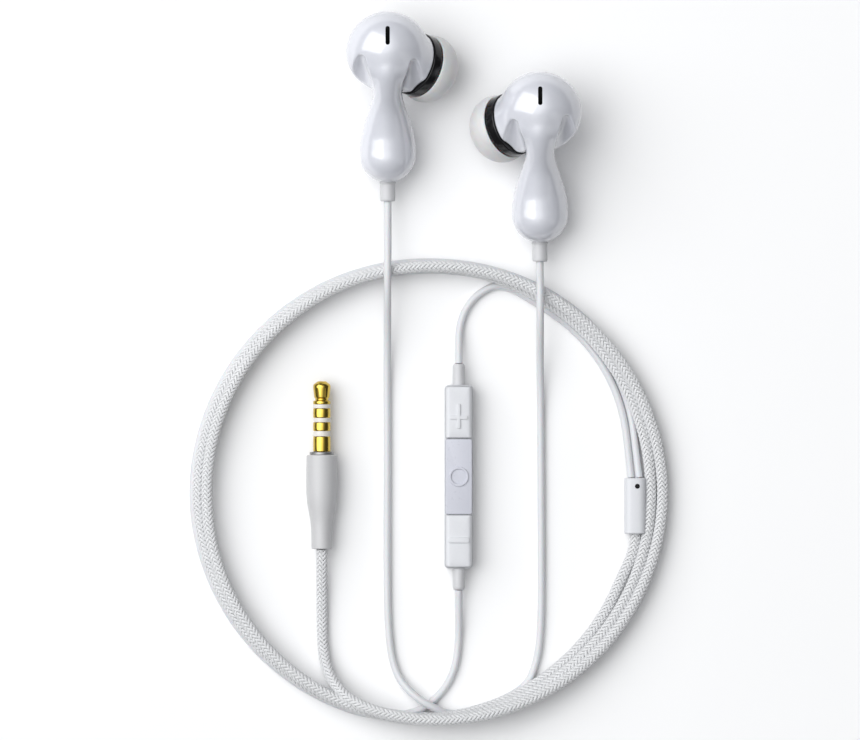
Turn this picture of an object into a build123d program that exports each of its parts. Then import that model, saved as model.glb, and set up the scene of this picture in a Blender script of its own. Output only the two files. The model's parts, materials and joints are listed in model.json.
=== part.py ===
from build123d import *
import math
import os

os.makedirs("parts", exist_ok=True)

# ---------------------------------------------------------------- driving sizes, mm
# Row frame: +X to the right, +Y towards the ear tips' end, +Z up off the table the set lies on.
# The origin is under the middle of the two earbuds.

BUD_X = 15.05          # each bud's stem stands this far left or right of the middle
BUD_STEP_Y = 11.9      # the right bud lies this much lower than the left one
WALL = 0.9             # moulded shell wall
FIT_GAP = 0.06         # radial gap of a sliding fit

HEAD_Y = 16.45         # centre of the round head, left bud
HEAD_Z = 13.0
HEAD_RADIUS = 8.2
HEAD_HALF_DEPTH = 6.2
NOZZLE_DIR = (0.74, -0.28, -0.61)   # from the head's centre towards the ear tip, left bud

RING_START = 6.6       # distances along the nozzle axis from the head's centre
RING_LENGTH = 2.2
RING_RADIUS = 6.35
DRIVER_RADIUS = 4.9
NECK_START = 1.5       # the cone that carries the driver leaves the head's middle here
NECK_RADIUS = 5.9
TUBE_RADIUS = 2.4
TUBE_BORE = 1.7
TUBE_LENGTH = 6.0
TIP_RADIUS = 6.75
TIP_START = 0.4        # the skirt's open edge, from the ring's face
TIP_WALL = 0.8
TIP_SLEEVE_START = 0.6   # the inner sleeve begins this far inside the skirt's edge
MESH_THICK = 0.25
MESH_SINK = 0.5        # the nozzle mesh sits this far inside the tube's mouth

# Ear tip outlines: how much smaller than TIP_RADIUS, and the distance from the skirt's edge
TIP_OUTSIDE = [(0.25, 0.0), (0.0, 2.0), (0.7, 3.8), (2.2, 5.2)]
TIP_INSIDE = [(0.25, 0.0), (0.0, 2.0), (0.8, 3.4)]
TIP_CROWN = (0.4, 6.1)   # past the sleeve's wall, and from the skirt's edge
TIP_ROOF = (0.5, 4.6)

# The driver, its distances measured back from the trim ring
DRIVER_DEPTH = 3.2
DRIVER_WALL = 0.4
MAGNET_RADIUS = 2.6
MAGNET_THICK = 1.3
PLATE_THICK = 0.4
VOICE_COIL_RADIUS = 3.1
VOICE_COIL_BORE = 2.75
VOICE_COIL_BACK = 1.9
VOICE_COIL_LENGTH = 1.25
DIAPHRAGM_BACK = 0.65
DIAPHRAGM_THICK = 0.1
RIM_WIDTH = 0.5

COLLAR_RADIUS = 1.52
COLLAR_LENGTH = 3.9
COLLAR_END_Y = -12.75
COLLAR_Z = 4.4
LEAD_RADIUS = 0.75
BRAID_RADIUS = 1.15

# Stem stations, from the head down to the collar: y, z, half width
STEM = [
    (20.5, 14.9, 2.4),
    (15.5, 15.4, 4.3),
    (11.5, 14.1, 3.25),
    (8.6, 12.4, 2.95),
    (4.2, 9.1, 3.8),
    (-2.4, 5.47, 5.45),
    (-6.6, 4.6, 4.2),
    (-9.0, 4.4, 2.5),
]

REMOTE_X = -1.0
REMOTE_TOP_Y = -49.05
REMOTE_LENGTH = 36.35
REMOTE_WIDTH = 5.6
REMOTE_HEIGHT = 5.2
REMOTE_COLLAR_RADIUS = 1.2
REMOTE_COLLAR_LENGTH = 4.2
REMOTE_AXIS_Z = 2.6
BUTTON_LENGTH = 9.6
BUTTON_WIDTH = 4.9
BUTTON_DEPTH = 1.5     # cap thickness below the body's top
BUTTON_RISE = 0.1      # the plus and minus caps stand this much above the body
CENTRE_SINK = 0.25     # the centre cap lies this much below it
BUTTON_CORNER = 0.8
BUTTON_EDGE = 0.6
MARK_HEIGHT = 0.12
MARK_LENGTH = 2.9
MARK_WIDTH = 0.5
MARK_RING_RADIUS = 1.9
MARK_RING_BORE = 1.55
PLUNGER_RADIUS = 0.6
PLUNGER_LENGTH = 1.2
PLUNGER_GAP = 0.05
REMOTE_CORNER = 1.4
REMOTE_WALL = 0.8
BOARD_TOP = 2.2
BOARD_THICK = 0.6
BOARD_GAP = 0.1
BOARD_END_GAP = 0.2
DOME_RADIUS = 1.1
DOME_HEIGHT = 0.35
MICROPHONE_RADIUS = 1.4
MICROPHONE_DOWN = 8.0  # from the remote's middle
CENTRE_LENGTH = 14.9
BUTTON_GAP = 0.15
BUTTON_TRAVEL = 0.35

SPLITTER_X = 33.9
SPLITTER_TOP_Y = -67.45
SPLITTER_LENGTH = 11.05
SPLITTER_WIDTH = 4.4
SPLITTER_HEIGHT = 4.6
SPLITTER_CORNER = 1.2
CRIMP_WIDTH = 2.4
CRIMP_HEIGHT = 2.2
CRIMP_END_GAP = 1.2
DOT_RADIUS = 0.45
DOT_DEPTH = 0.3
DOT_SIDE = 0.45        # from the splitter's middle line
DOT_DOWN = 1.65        # from its upper end

PLUG_X = -28.1
PLUG_TIP_Y = -48.3
PLUG_Z = 3.15
PLUG_RADIUS = 1.75
SLEEVE_END_Y = -62.3
BOOT_END_Y = -81.5
PLUG_LINER = 1.0       # radius of the insulating core
PLUG_PIN = 0.5         # radius of the centre pin
FLANGE_RADIUS = 2.37
FLANGE_LENGTH = 0.6
CORE_REACH = 4.0       # the core runs this far past the flange
PIN_REACH = 1.0        # and the pin this far past the core
BOOT_CAVITY = 1.7
CAVITY_START = 1.0     # from the flange
CRIMP_START = 3.0      # from the core's end
CRIMP_END = 5.0

# Plug tip outline: radius, distance back from the plug's end
PLUG_TIP = [
    (0, 0), (0.8, 0), (1.6, 0.55), (1.75, 0.9), (1.75, 1.3), (1.45, 3.25),
    (1.2, 3.5), (1.2, 3.8), (1.6, 4.0), (1.7, 4.65),
]
PLUG_TIP_END = 4.65
FIRST_RING = (5.34, 7.3)
SECOND_RING = (8.1, 9.9)
SLEEVE_START = 10.9

# Boot outline: radius, distance past the flange
BOOT = [
    (2.86, 0.0), (3.05, 0.3), (3.08, 6.8), (2.98, 8.6),
    (2.76, 10.3), (2.46, 11.9), (2.24, 13.4), (2.1, 15.2),
]
BOOT_END_RADIUS = 2.0

COIL_CENTRE = (-6.9, -70.5)
COIL_SEMI_X = 47.65
COIL_SEMI_Y = 46.35
COIL_INNER_SHIFT_X = -1.5
COIL_INNER_SEMI_X = 41.4
COIL_INNER_SEMI_Y = 43.5
COIL_HEIGHT = 6.3
COIL_EDGE = 1.0        # chamfer along the bundle's top edges
COIL_SEAT_GAP = 0.1    # between the bundle and the splitter's outer side
ARC_SHARE = 0.45       # of the shorter run next to a corner, taken by the corner's arc

VENT_Y = 20.1
VENT_WIDTH = 0.86
VENT_LENGTH = 3.7
VENT_SINK = 0.35

BIG = 60.0             # reach of a cutting block, larger than any bud
UPWARD = (Align.CENTER, Align.CENTER, Align.MIN)   # a solid that stands on its own origin


def save(shape, name):
    shape.label = name
    export_step(shape, f"parts/{name}.step")


def sector(plane, length, radius):
    """A solid cylinder standing on a plane."""
    return extrude(plane * Circle(radius), amount=length)


def ring(plane, length, radius, bore):
    return sector(plane, length, radius) - sector(plane, length, bore)


# ---------------------------------------------------------------- one earbud, built as the left one

def stem_solid(shrink, last):
    """Loft through the stem's round sections, each square to the stem's line."""
    sections = []
    for i in range(last):
        before = STEM[max(i - 1, 0)]
        after = STEM[min(i + 1, len(STEM) - 1)]
        y, z, half = STEM[i]
        along = Vector(0, after[0] - before[0], after[1] - before[1])
        place = Plane(origin=(-BUD_X, y, z), x_dir=(1, 0, 0), z_dir=along)
        sections.append(place * Circle(half - shrink))
    return loft(sections)


def head_solid(shrink):
    """Flattened ball, turned about the vertical."""
    wide = HEAD_RADIUS - shrink
    deep = HEAD_HALF_DEPTH - shrink
    half = Plane.XZ * (Ellipse(wide, deep) & Pos(wide, 0) * Rectangle(2 * wide, 2 * deep))
    ball = revolve(half, Axis.Z)
    return Pos(-BUD_X, HEAD_Y, HEAD_Z) * ball


def nozzle_plane(distance):
    away = Vector(*NOZZLE_DIR).normalized()
    start = Vector(-BUD_X, HEAD_Y, HEAD_Z) + away * distance
    return Plane(origin=start, x_dir=(0, 0, 1), z_dir=away)


def driver_plane(back):
    """Square to the nozzle, this far back from the trim ring."""
    return nozzle_plane(RING_START - back)


def neck(shrink):
    """Short cone from inside the head to the trim ring."""
    small = nozzle_plane(NECK_START) * Circle(NECK_RADIUS - shrink)
    large = nozzle_plane(RING_START) * Circle(RING_RADIUS - shrink)
    return loft([small, large])


def parting_block(front):
    """Everything in front of, or behind, the seam that runs through the head and the bulb."""
    head_y, head_z = HEAD_Y, HEAD_Z
    bulb_y, bulb_z = STEM[5][0], STEM[5][1]
    seam = Plane(
        origin=(-BUD_X, bulb_y, bulb_z),
        x_dir=(1, 0, 0),
        z_dir=Vector(0, head_z - bulb_z, -(head_y - bulb_y)) * -1,
    )
    reach = BIG if front else -BIG
    return extrude(seam * Rectangle(2 * BIG, 2 * BIG), amount=reach)


def collar_plane():
    return Plane(origin=(-BUD_X, COLLAR_END_Y + COLLAR_LENGTH, COLLAR_Z), x_dir=(1, 0, 0), z_dir=(0, -1, 0))


def ear_tip(face):
    """Soft dome: an outer skirt, a rounded crown and an inner sleeve that grips the sound tube."""
    start = face + TIP_START
    sleeve_radius = TUBE_RADIUS + FIT_GAP
    sleeve_outer = sleeve_radius + TIP_WALL
    crown_radius, crown = TIP_CROWN
    roof_radius, roof = TIP_ROOF
    outline = [(TIP_RADIUS - less, along) for less, along in TIP_OUTSIDE]
    outline.append((sleeve_outer + crown_radius, crown))
    inside = [(TIP_RADIUS - TIP_WALL - less, along) for less, along in TIP_INSIDE]
    inside.append((sleeve_outer + roof_radius, roof))
    outer_line = Spline(*outline)
    crown_line = Line(outline[-1], (sleeve_radius, crown))
    bore_line = Line((sleeve_radius, crown), (sleeve_radius, TIP_SLEEVE_START))
    foot_line = Line((sleeve_radius, TIP_SLEEVE_START), (sleeve_outer, TIP_SLEEVE_START))
    side_line = Line((sleeve_outer, TIP_SLEEVE_START), (sleeve_outer, roof))
    roof_line = Line((sleeve_outer, roof), inside[-1])
    inner_line = Spline(*inside)
    edge_line = Line(inside[0], outline[0])
    lines = [outer_line, crown_line, bore_line, foot_line, side_line, roof_line, inner_line, edge_line]
    half = make_face(Plane.XZ * (Curve() + lines))
    return nozzle_plane(start).location * revolve(half, Axis.Z)


def earbud():
    """All of one bud's pieces, as a dictionary of name to solid."""
    face = RING_START + RING_LENGTH
    collar = ring(collar_plane(), COLLAR_LENGTH, COLLAR_RADIUS, LEAD_RADIUS)
    outer = head_solid(0) + stem_solid(0, len(STEM)) + neck(0)
    outer = outer - sector(nozzle_plane(RING_START), RING_START, HEAD_RADIUS)
    shell = outer - neck(WALL) - head_solid(WALL) - stem_solid(WALL, len(STEM) - 1)
    slot = SlotOverall(VENT_LENGTH, VENT_WIDTH, rotation=90)
    vent = Pos(-BUD_X, VENT_Y, HEAD_Z) * extrude(slot, amount=BIG)
    shell = shell - vent - sector(collar_plane(), COLLAR_LENGTH, COLLAR_RADIUS)
    pieces = {}
    pieces["front_shell"] = shell & parting_block(True)
    pieces["rear_shell"] = shell & parting_block(False)
    pieces["vent_mesh"] = vent & head_solid(VENT_SINK) - head_solid(WALL)
    pieces["cord_collar"] = collar
    pieces["trim_ring"] = ring(nozzle_plane(RING_START), RING_LENGTH, RING_RADIUS, TUBE_BORE)
    pieces["sound_tube"] = ring(nozzle_plane(face), TUBE_LENGTH, TUBE_RADIUS, TUBE_BORE)
    mesh_start = face + TUBE_LENGTH - MESH_SINK
    pieces["nozzle_mesh"] = sector(nozzle_plane(mesh_start), MESH_THICK, TUBE_BORE)
    pieces["ear_tip"] = ear_tip(face)
    # The driver, from its back plate to the diaphragm under the trim ring
    inner_radius = DRIVER_RADIUS - DRIVER_WALL
    floor = DRIVER_DEPTH - DRIVER_WALL
    cup = sector(driver_plane(DRIVER_DEPTH), DRIVER_DEPTH, DRIVER_RADIUS)
    pieces["driver_cup"] = cup - sector(driver_plane(floor), floor, inner_radius)
    pieces["driver_magnet"] = sector(driver_plane(floor), MAGNET_THICK, MAGNET_RADIUS)
    pieces["driver_top_plate"] = sector(driver_plane(floor - MAGNET_THICK), PLATE_THICK, MAGNET_RADIUS)
    pieces["voice_coil"] = ring(
        driver_plane(VOICE_COIL_BACK), VOICE_COIL_LENGTH, VOICE_COIL_RADIUS, VOICE_COIL_BORE
    )
    pieces["diaphragm"] = sector(driver_plane(DIAPHRAGM_BACK), DIAPHRAGM_THICK, inner_radius)
    rim_back = DIAPHRAGM_BACK - DIAPHRAGM_THICK
    pieces["diaphragm_rim"] = ring(driver_plane(rim_back), rim_back, inner_radius, inner_radius - RIM_WIDTH)
    return pieces


def save_earbuds():
    for name, shape in earbud().items():
        save(shape, f"left_{name}")
        other = mirror(shape, about=Plane.YZ)
        save(Pos(0, -BUD_STEP_Y, 0) * other, f"right_{name}")


# ---------------------------------------------------------------- remote with three buttons

def remote_body():
    middle = REMOTE_TOP_Y - REMOTE_LENGTH / 2
    bar = Pos(REMOTE_X, middle, REMOTE_HEIGHT / 2) * Box(REMOTE_WIDTH, REMOTE_LENGTH, REMOTE_HEIGHT)
    return fillet(bar.edges().filter_by(Axis.Y), REMOTE_CORNER)


def button_centres():
    middle = REMOTE_TOP_Y - REMOTE_LENGTH / 2
    reach = CENTRE_LENGTH / 2 + BUTTON_LENGTH / 2 + 2 * BUTTON_GAP
    return {"plus_button": middle + reach, "centre_button": middle, "minus_button": middle - reach}


def cap_top(name):
    return REMOTE_HEIGHT - CENTRE_SINK if name == "centre_button" else REMOTE_HEIGHT + BUTTON_RISE


def button_block(name, y, grow):
    """A button's cap, or with grow the hole it moves in."""
    length = CENTRE_LENGTH if name == "centre_button" else BUTTON_LENGTH
    low = REMOTE_HEIGHT - BUTTON_DEPTH
    if grow:
        low = low - BUTTON_TRAVEL - grow
    top = REMOTE_HEIGHT + BUTTON_DEPTH if grow else cap_top(name)
    cap = Pos(REMOTE_X, y, (low + top) / 2) * Box(BUTTON_WIDTH + 2 * grow, length + 2 * grow, top - low)
    cap = fillet(cap.edges().filter_by(Axis.Z), BUTTON_CORNER)
    if grow:
        return cap
    return fillet(cap.faces().sort_by(Axis.Z)[-1].edges(), BUTTON_EDGE)


def button_mark(name, y):
    """Raised sign on a cap: a plus, a ring or a minus."""
    plane = Plane(origin=(REMOTE_X, y, cap_top(name)))
    if name == "centre_button":
        return ring(plane, MARK_HEIGHT, MARK_RING_RADIUS, MARK_RING_BORE)
    bar = extrude(plane * Rectangle(MARK_LENGTH, MARK_WIDTH), amount=MARK_HEIGHT)
    if name == "plus_button":
        bar = bar + extrude(plane * Rectangle(MARK_WIDTH, MARK_LENGTH), amount=MARK_HEIGHT)
    return bar


def save_remote():
    body = remote_body()
    middle = REMOTE_TOP_Y - REMOTE_LENGTH / 2
    inner_width = REMOTE_WIDTH - 2 * REMOTE_WALL
    inner_length = REMOTE_LENGTH - 2 * REMOTE_WALL
    centre = Pos(REMOTE_X, middle, REMOTE_HEIGHT / 2)
    shell = body - centre * Box(inner_width, inner_length, REMOTE_HEIGHT - 2 * REMOTE_WALL)
    upper = centre * Box(BIG, BIG, BIG, align=UPWARD)
    front = shell & upper
    rear = shell - upper
    domes = []
    for name, y in button_centres().items():
        front = front - button_block(name, y, BUTTON_GAP)
        cap = button_block(name, y, 0)
        plunger_end = BOARD_TOP + DOME_HEIGHT + BUTTON_TRAVEL + PLUNGER_GAP
        plunger = Pos(REMOTE_X, y, plunger_end) * Cylinder(PLUNGER_RADIUS, PLUNGER_LENGTH, align=UPWARD)
        save(cap + button_mark(name, y) + plunger, f"remote_{name}")
        dome = Cone(DOME_RADIUS, DOME_RADIUS / 2, DOME_HEIGHT, align=UPWARD)
        domes.append(Pos(REMOTE_X, y, BOARD_TOP) * dome)
    save(front, "remote_front_shell")
    save(rear, "remote_rear_shell")
    save(Compound(children=domes), "remote_dome_switches")
    board_low = BOARD_TOP - BOARD_THICK
    board = Box(inner_width - 2 * BOARD_GAP, inner_length - 2 * BOARD_END_GAP, BOARD_THICK, align=UPWARD)
    save(Pos(REMOTE_X, middle, board_low) * board, "remote_circuit_board")
    microphone = Cylinder(MICROPHONE_RADIUS, board_low - REMOTE_WALL, align=UPWARD)
    save(Pos(REMOTE_X, middle - MICROPHONE_DOWN, REMOTE_WALL) * microphone, "remote_microphone")
    top = Plane(origin=(REMOTE_X, REMOTE_TOP_Y, REMOTE_AXIS_Z), z_dir=(0, 1, 0))
    bottom = Plane(origin=(REMOTE_X, REMOTE_TOP_Y - REMOTE_LENGTH, REMOTE_AXIS_Z), z_dir=(0, -1, 0))
    save(sector(top, REMOTE_COLLAR_LENGTH, REMOTE_COLLAR_RADIUS), "remote_upper_collar")
    save(sector(bottom, REMOTE_COLLAR_LENGTH, REMOTE_COLLAR_RADIUS), "remote_lower_collar")


# ---------------------------------------------------------------- splitter, where one cable becomes two leads

def save_splitter():
    middle_y = SPLITTER_TOP_Y - SPLITTER_LENGTH / 2
    centre = Pos(SPLITTER_X, middle_y, SPLITTER_HEIGHT / 2)
    block = centre * Box(SPLITTER_WIDTH, SPLITTER_LENGTH, SPLITTER_HEIGHT)
    block = fillet(block.edges().filter_by(Axis.Y), SPLITTER_CORNER)
    core = centre * Box(CRIMP_WIDTH, SPLITTER_LENGTH - 2 * CRIMP_END_GAP, CRIMP_HEIGHT)
    upper = centre * Box(BIG, BIG, BIG, align=UPWARD)
    dot_place = Pos(SPLITTER_X + DOT_SIDE, SPLITTER_TOP_Y - DOT_DOWN, SPLITTER_HEIGHT - DOT_DEPTH)
    dot = dot_place * Cylinder(DOT_RADIUS, DOT_DEPTH, align=UPWARD)
    shell = block - core
    save((shell & upper) - dot, "splitter_front_shell")
    save(shell - upper, "splitter_rear_shell")
    save(core, "splitter_crimp_block")
    save(dot, "splitter_dot")


# ---------------------------------------------------------------- four-pole plug

def plug_plane(y):
    return Plane(origin=(PLUG_X, y, PLUG_Z), x_dir=(1, 0, 0), z_dir=(0, -1, 0))


def turned(points):
    """Revolve an outline of (radius, distance back from the plug's tip) about the plug's axis."""
    half = make_face(Plane.XZ * Polyline(*points, close=True))
    return plug_plane(PLUG_TIP_Y).location * revolve(half, Axis.Z)


def collar_ring(inner, outer, start, end):
    """A plain ring about the plug's axis, between two distances from its tip."""
    return turned([(inner, start), (outer, start), (outer, end), (inner, end)])


def save_plug():
    sleeve_end = PLUG_TIP_Y - SLEEVE_END_Y
    flange_end = sleeve_end + FLANGE_LENGTH
    boot_end = PLUG_TIP_Y - BOOT_END_Y
    core_end = flange_end + CORE_REACH
    pin_end = core_end + PIN_REACH
    save(turned(PLUG_TIP + [(PLUG_PIN, PLUG_TIP_END), (PLUG_PIN, pin_end), (0, pin_end)]), "plug_tip")
    poles = [
        ("plug_first_ring", *FIRST_RING),
        ("plug_second_ring", *SECOND_RING),
        ("plug_sleeve", SLEEVE_START, sleeve_end),
    ]
    insulator = collar_ring(PLUG_PIN, PLUG_LINER, PLUG_TIP_END, core_end)
    begin = PLUG_TIP_END
    for name, start, end in poles:
        save(collar_ring(PLUG_LINER, PLUG_RADIUS, start, end), name)
        insulator = insulator + collar_ring(PLUG_LINER, PLUG_RADIUS, begin, start)
        begin = end
    save(insulator, "plug_insulator")
    save(collar_ring(PLUG_LINER, FLANGE_RADIUS, sleeve_end, flange_end), "plug_flange")
    crimp_start = core_end + CRIMP_START
    crimp_end = core_end + CRIMP_END
    cavity_start = flange_end + CAVITY_START
    boot = [(PLUG_LINER, flange_end)]
    boot += [(radius, flange_end + along) for radius, along in BOOT]
    boot += [(BOOT_END_RADIUS, boot_end), (BRAID_RADIUS, boot_end), (BRAID_RADIUS, crimp_end)]
    boot += [(BOOT_CAVITY, crimp_end), (BOOT_CAVITY, cavity_start), (PLUG_LINER, cavity_start)]
    save(turned(boot), "plug_boot")
    save(collar_ring(0, BOOT_CAVITY, crimp_start, crimp_end), "plug_cable_crimp")


# ---------------------------------------------------------------- the cord

def tube(points, radius, name):
    """A cord's tube: straight runs joined by arcs as large as the runs allow."""
    spots = [Vector(*p) for p in points]
    radii = []
    for before, here, after in zip(spots, spots[1:], spots[2:]):
        turn = math.radians((here - before).get_angle(after - here))
        shorter = min((here - before).length, (after - here).length)
        radii.append(ARC_SHARE * shorter / math.tan(turn / 2))
    path = FilletPolyline(*points, radius=radii)
    section = Plane(origin=path @ 0, z_dir=path % 0) * Circle(radius)
    solid = sweep(section, path=path)
    expected = math.pi * radius**2 * path.length
    print(name, "radii", [round(r, 1) for r in radii])
    print(name, "length", round(path.length, 1))
    print(name, "volume / section x length", round(solid.volume / expected, 4))
    save(solid, name)


LEFT_LEAD = [
    (-15.05, -12.75, 4.4),
    (-15.05, -16.8, 5.2),
    (-15.05, -22.6, 10.1),
    (-15.1, -30.4, 10.1),
    (-15.1, -38.6, 4.4),
    (-15.2, -47.5, 0.8),
    (-15.1, -62.0, 0.75),
    (-15.2, -84.0, 0.75),
    (-15.0, -98.5, 0.75),
    (-13.4, -106.0, 1.6),
    (-9.4, -111.0, 4.6),
    (-4.6, -114.6, 4.9),
]

RIGHT_LEAD = [
    (15.05, -24.65, 4.4),
    (15.05, -26.6, 4.7),
    (15.1, -28.9, 9.8),
    (15.1, -37.4, 10.0),
    (15.1, -45.4, 4.4),
    (15.2, -53.5, 0.8),
    (15.3, -68.0, 0.75),
    (15.4, -86.0, 0.75),
    (15.3, -97.0, 0.75),
    (14.6, -103.6, 0.75),
    (12.2, -109.4, 0.75),
]

REMOTE_UPPER_LEAD = [
    (-1.0, -44.85, 2.6),
    (-1.0, -41.6, 2.0),
    (-0.9, -37.6, 0.8),
    (0.4, -33.8, 0.75),
    (3.0, -31.0, 0.75),
    (7.4, -28.3, 0.75),
]

REMOTE_LOWER_LEAD = [
    (-1.0, -89.6, 2.6),
    (-1.0, -93.5, 1.9),
    (-1.0, -99.4, 0.8),
    (-1.6, -105.0, 0.75),
    (-4.0, -109.7, 0.75),
    (-9.4, -114.6, 0.75),
]

PLUG_LEAD = [
    (-28.1, -81.5, 3.15),
    (-28.1, -86.5, 2.3),
    (-28.1, -94.0, 1.2),
    (-28.0, -101.6, 1.2),
    (-26.4, -107.6, 2.6),
    (-21.6, -112.6, 4.0),
]


def save_coil():
    """The ring of turns where the cable and the leads lie together, as the shape round them all."""
    outer = Pos(*COIL_CENTRE, 0) * extrude(Ellipse(COIL_SEMI_X, COIL_SEMI_Y), amount=COIL_HEIGHT)
    inner_x = COIL_CENTRE[0] + COIL_INNER_SHIFT_X
    inner = Pos(inner_x, COIL_CENTRE[1], 0) * extrude(
        Ellipse(COIL_INNER_SEMI_X, COIL_INNER_SEMI_Y), amount=COIL_HEIGHT
    )
    outer = chamfer(outer.edges().group_by(Axis.Z)[-1], COIL_EDGE)
    seat_side = SPLITTER_X + SPLITTER_WIDTH / 2 + COIL_SEAT_GAP
    seat = Pos(seat_side, SPLITTER_TOP_Y, 0) * Box(
        COIL_SEMI_X / 2, SPLITTER_LENGTH, BIG, align=(Align.MAX, Align.MAX, Align.CENTER)
    )
    save(outer - inner - seat, "cable_coil")


save_earbuds()
save_remote()
save_splitter()
save_plug()
save_coil()
tube(LEFT_LEAD, LEAD_RADIUS, "left_lead")
tube(RIGHT_LEAD, LEAD_RADIUS, "right_lead")
tube(REMOTE_UPPER_LEAD, LEAD_RADIUS, "remote_upper_lead")
tube(REMOTE_LOWER_LEAD, LEAD_RADIUS, "remote_lower_lead")
tube(PLUG_LEAD, BRAID_RADIUS, "plug_lead")
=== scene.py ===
import json
import math

import bmesh
import bpy
import numpy as np
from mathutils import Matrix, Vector


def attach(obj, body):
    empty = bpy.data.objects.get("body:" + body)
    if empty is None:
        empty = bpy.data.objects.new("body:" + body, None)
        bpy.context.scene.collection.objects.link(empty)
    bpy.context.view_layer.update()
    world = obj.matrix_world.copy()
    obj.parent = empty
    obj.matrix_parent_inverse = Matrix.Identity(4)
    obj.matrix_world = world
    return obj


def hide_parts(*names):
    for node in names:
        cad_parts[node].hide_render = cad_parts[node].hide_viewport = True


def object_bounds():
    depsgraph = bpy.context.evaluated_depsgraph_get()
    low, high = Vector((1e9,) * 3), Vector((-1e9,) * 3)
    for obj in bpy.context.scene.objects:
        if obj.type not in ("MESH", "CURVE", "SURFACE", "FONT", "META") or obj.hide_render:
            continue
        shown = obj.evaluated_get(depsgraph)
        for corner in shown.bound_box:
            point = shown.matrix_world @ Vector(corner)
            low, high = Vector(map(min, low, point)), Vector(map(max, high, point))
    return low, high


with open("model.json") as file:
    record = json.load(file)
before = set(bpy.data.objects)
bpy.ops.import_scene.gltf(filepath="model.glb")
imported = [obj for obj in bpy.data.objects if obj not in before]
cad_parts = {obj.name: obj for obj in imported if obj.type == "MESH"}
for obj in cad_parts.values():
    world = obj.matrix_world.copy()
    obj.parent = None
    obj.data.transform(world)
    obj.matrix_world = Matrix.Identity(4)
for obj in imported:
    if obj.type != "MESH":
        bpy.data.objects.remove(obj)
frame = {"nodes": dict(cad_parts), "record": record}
CAD_LOW, CAD_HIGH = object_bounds()

MM = 0.001
ROOT = "earphone_set"

# ---------------- camera

VIEW_WIDTH = 0.1703            # metres across the picture, at the table
VIEW_SHIFT = 0.0002
LENS = 1000.0
SENSOR = 36.0
FAR_CLIP = 10.0


def make_camera():
    """Straight above the set, far away with a long lens, as the photograph looks at it."""
    data = bpy.data.cameras.new("camera")
    data.lens = LENS
    data.sensor_width = SENSOR
    data.clip_end = FAR_CLIP
    camera = bpy.data.objects.new("camera", data)
    bpy.context.collection.objects.link(camera)
    middle = (CAD_LOW + CAD_HIGH) / 2
    camera.location = (middle[0] + VIEW_SHIFT, middle[1], VIEW_WIDTH * LENS / SENSOR)
    bpy.context.scene.camera = camera


# ---------------- materials

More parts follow.
